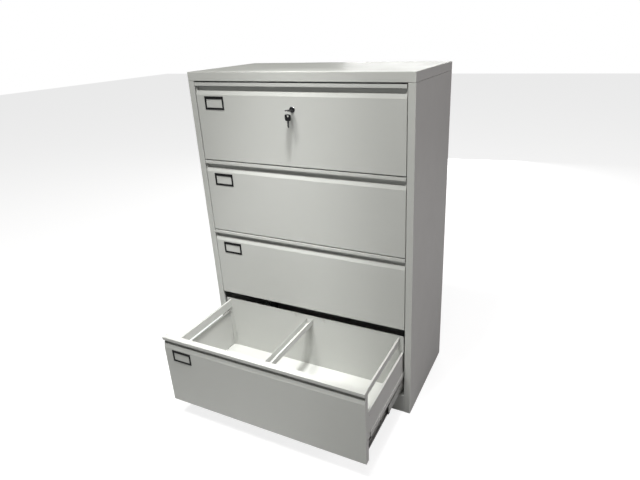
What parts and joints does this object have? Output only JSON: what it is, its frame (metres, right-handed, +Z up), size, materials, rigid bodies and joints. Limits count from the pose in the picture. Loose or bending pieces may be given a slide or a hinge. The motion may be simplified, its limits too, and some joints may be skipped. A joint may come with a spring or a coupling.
{
  "type": "lateral filing cabinet",
  "caption": "Grey sheet-steel lateral filing cabinet with wide stacked drawers on telescopic slides, folder rails, label holders and a cam lock with keys; lowest drawer open.",
  "frame": {"origin": "on the floor, in the middle of the rectangle that the cabinet and its open lowest drawer cover", "axes": "+Z up; the drawers open towards -Y; +X to the right of someone facing the drawers"},
  "size_m": [0.9, 0.832, 1.32],
  "materials": {
    "grey_paint": "light warm grey powder coat, semi-gloss with a fine texture",
    "zinc_steel": "zinc plated",
    "dark_nickel": "dark nickel plate",
    "black_plastic": "moulded black, slight sheen"
  },
  "bodies": {
    "carcass": {"left_side_panel": "grey_paint", "right_side_panel": "grey_paint", "top_cap": "grey_paint", "back_panel": "grey_paint", "base_pan": "grey_paint", "fixed_slide_left_1": "zinc_steel", "fixed_slide_right_1": "zinc_steel", "fixed_slide_left_2": "zinc_steel", "fixed_slide_right_2": "zinc_steel", "fixed_slide_left_3": "zinc_steel", "fixed_slide_right_3": "zinc_steel", "fixed_slide_left_4": "zinc_steel", "fixed_slide_right_4": "zinc_steel"},
    "drawer_1": {"drawer_front_1": "grey_paint", "tray_1": "grey_paint", "left_rail_1": "grey_paint", "right_rail_1": "grey_paint", "centre_rail_1": "grey_paint", "label_holder_1": "black_plastic", "drawer_slide_left_1": "zinc_steel", "drawer_slide_right_1": "zinc_steel", "lock_barrel": "dark_nickel"},
    "slide_middle_1": {"mid_slide_left_1": "zinc_steel", "mid_slide_right_1": "zinc_steel"},
    "drawer_2": {"drawer_front_2": "grey_paint", "tray_2": "grey_paint", "left_rail_2": "grey_paint", "right_rail_2": "grey_paint", "centre_rail_2": "grey_paint", "label_holder_2": "black_plastic", "drawer_slide_left_2": "zinc_steel", "drawer_slide_right_2": "zinc_steel"},
    "slide_middle_2": {"mid_slide_left_2": "zinc_steel", "mid_slide_right_2": "zinc_steel"},
    "drawer_3": {"drawer_front_3": "grey_paint", "tray_3": "grey_paint", "left_rail_3": "grey_paint", "right_rail_3": "grey_paint", "centre_rail_3": "grey_paint", "label_holder_3": "black_plastic", "drawer_slide_left_3": "zinc_steel", "drawer_slide_right_3": "zinc_steel"},
    "slide_middle_3": {"mid_slide_left_3": "zinc_steel", "mid_slide_right_3": "zinc_steel"},
    "drawer_4": {"drawer_front_4": "grey_paint", "tray_4": "grey_paint", "left_rail_4": "grey_paint", "right_rail_4": "grey_paint", "centre_rail_4": "grey_paint", "label_holder_4": "black_plastic", "drawer_slide_left_4": "zinc_steel", "drawer_slide_right_4": "zinc_steel"},
    "slide_middle_4": {"mid_slide_left_4": "zinc_steel", "mid_slide_right_4": "zinc_steel"},
    "lock_plug": {"lock_plug": "dark_nickel"},
    "key": {"key_blade": "dark_nickel", "key_head": "black_plastic", "key_ring": "dark_nickel"},
    "spare_key": {"spare_key_blade": "dark_nickel", "spare_key_head": "black_plastic"}
  },
  "joints": [
    {"name": "drawer_1_slide", "type": "slide", "parent": "carcass", "child": "drawer_1", "axis": [0, -1, 0], "range_m": [0, 0.382]},
    {"name": "drawer_2_slide", "type": "slide", "parent": "carcass", "child": "drawer_2", "axis": [0, -1, 0], "range_m": [0, 0.382]},
    {"name": "drawer_3_slide", "type": "slide", "parent": "carcass", "child": "drawer_3", "axis": [0, -1, 0], "range_m": [0, 0.382]},
    {"name": "drawer_4_slide", "type": "slide", "parent": "carcass", "child": "drawer_4", "axis": [0, -1, 0], "range_m": [-0.382, 0]},
    {"name": "slide_middle_1_run", "type": "slide", "parent": "carcass", "child": "slide_middle_1", "axis": [0, -1, 0], "range_m": [0, 0.191]},
    {"name": "slide_middle_2_run", "type": "slide", "parent": "carcass", "child": "slide_middle_2", "axis": [0, -1, 0], "range_m": [0, 0.191]},
    {"name": "slide_middle_3_run", "type": "slide", "parent": "carcass", "child": "slide_middle_3", "axis": [0, -1, 0], "range_m": [0, 0.191]},
    {"name": "slide_middle_4_run", "type": "slide", "parent": "carcass", "child": "slide_middle_4", "axis": [0, -1, 0], "range_m": [-0.191, 0]},
    {"name": "lock_turn", "type": "hinge", "parent": "drawer_1", "child": "lock_plug", "pos_m": [0, -0.034, 1.193], "axis": [0, 1, 0], "range_deg": [0, 90]},
    {"name": "key_pull", "type": "slide", "parent": "lock_plug", "child": "key", "axis": [0, -1, 0], "range_m": [0, 0.03]},
    {"name": "spare_key_swing", "type": "hinge", "parent": "key", "child": "spare_key", "pos_m": [0, -0.0653, 1.17746], "axis": [0, 1, 0], "range_deg": [-90, 0]}
  ],
  "couplings": [
    {"joint": "slide_middle_1_run", "follows": "drawer_1_slide", "ratio": 0.5},
    {"joint": "slide_middle_2_run", "follows": "drawer_2_slide", "ratio": 0.5},
    {"joint": "slide_middle_3_run", "follows": "drawer_3_slide", "ratio": 0.5},
    {"joint": "slide_middle_4_run", "follows": "drawer_4_slide", "ratio": 0.5},
    {"joint": "spare_key_swing", "follows": "lock_turn", "ratio": -1}
  ]
}
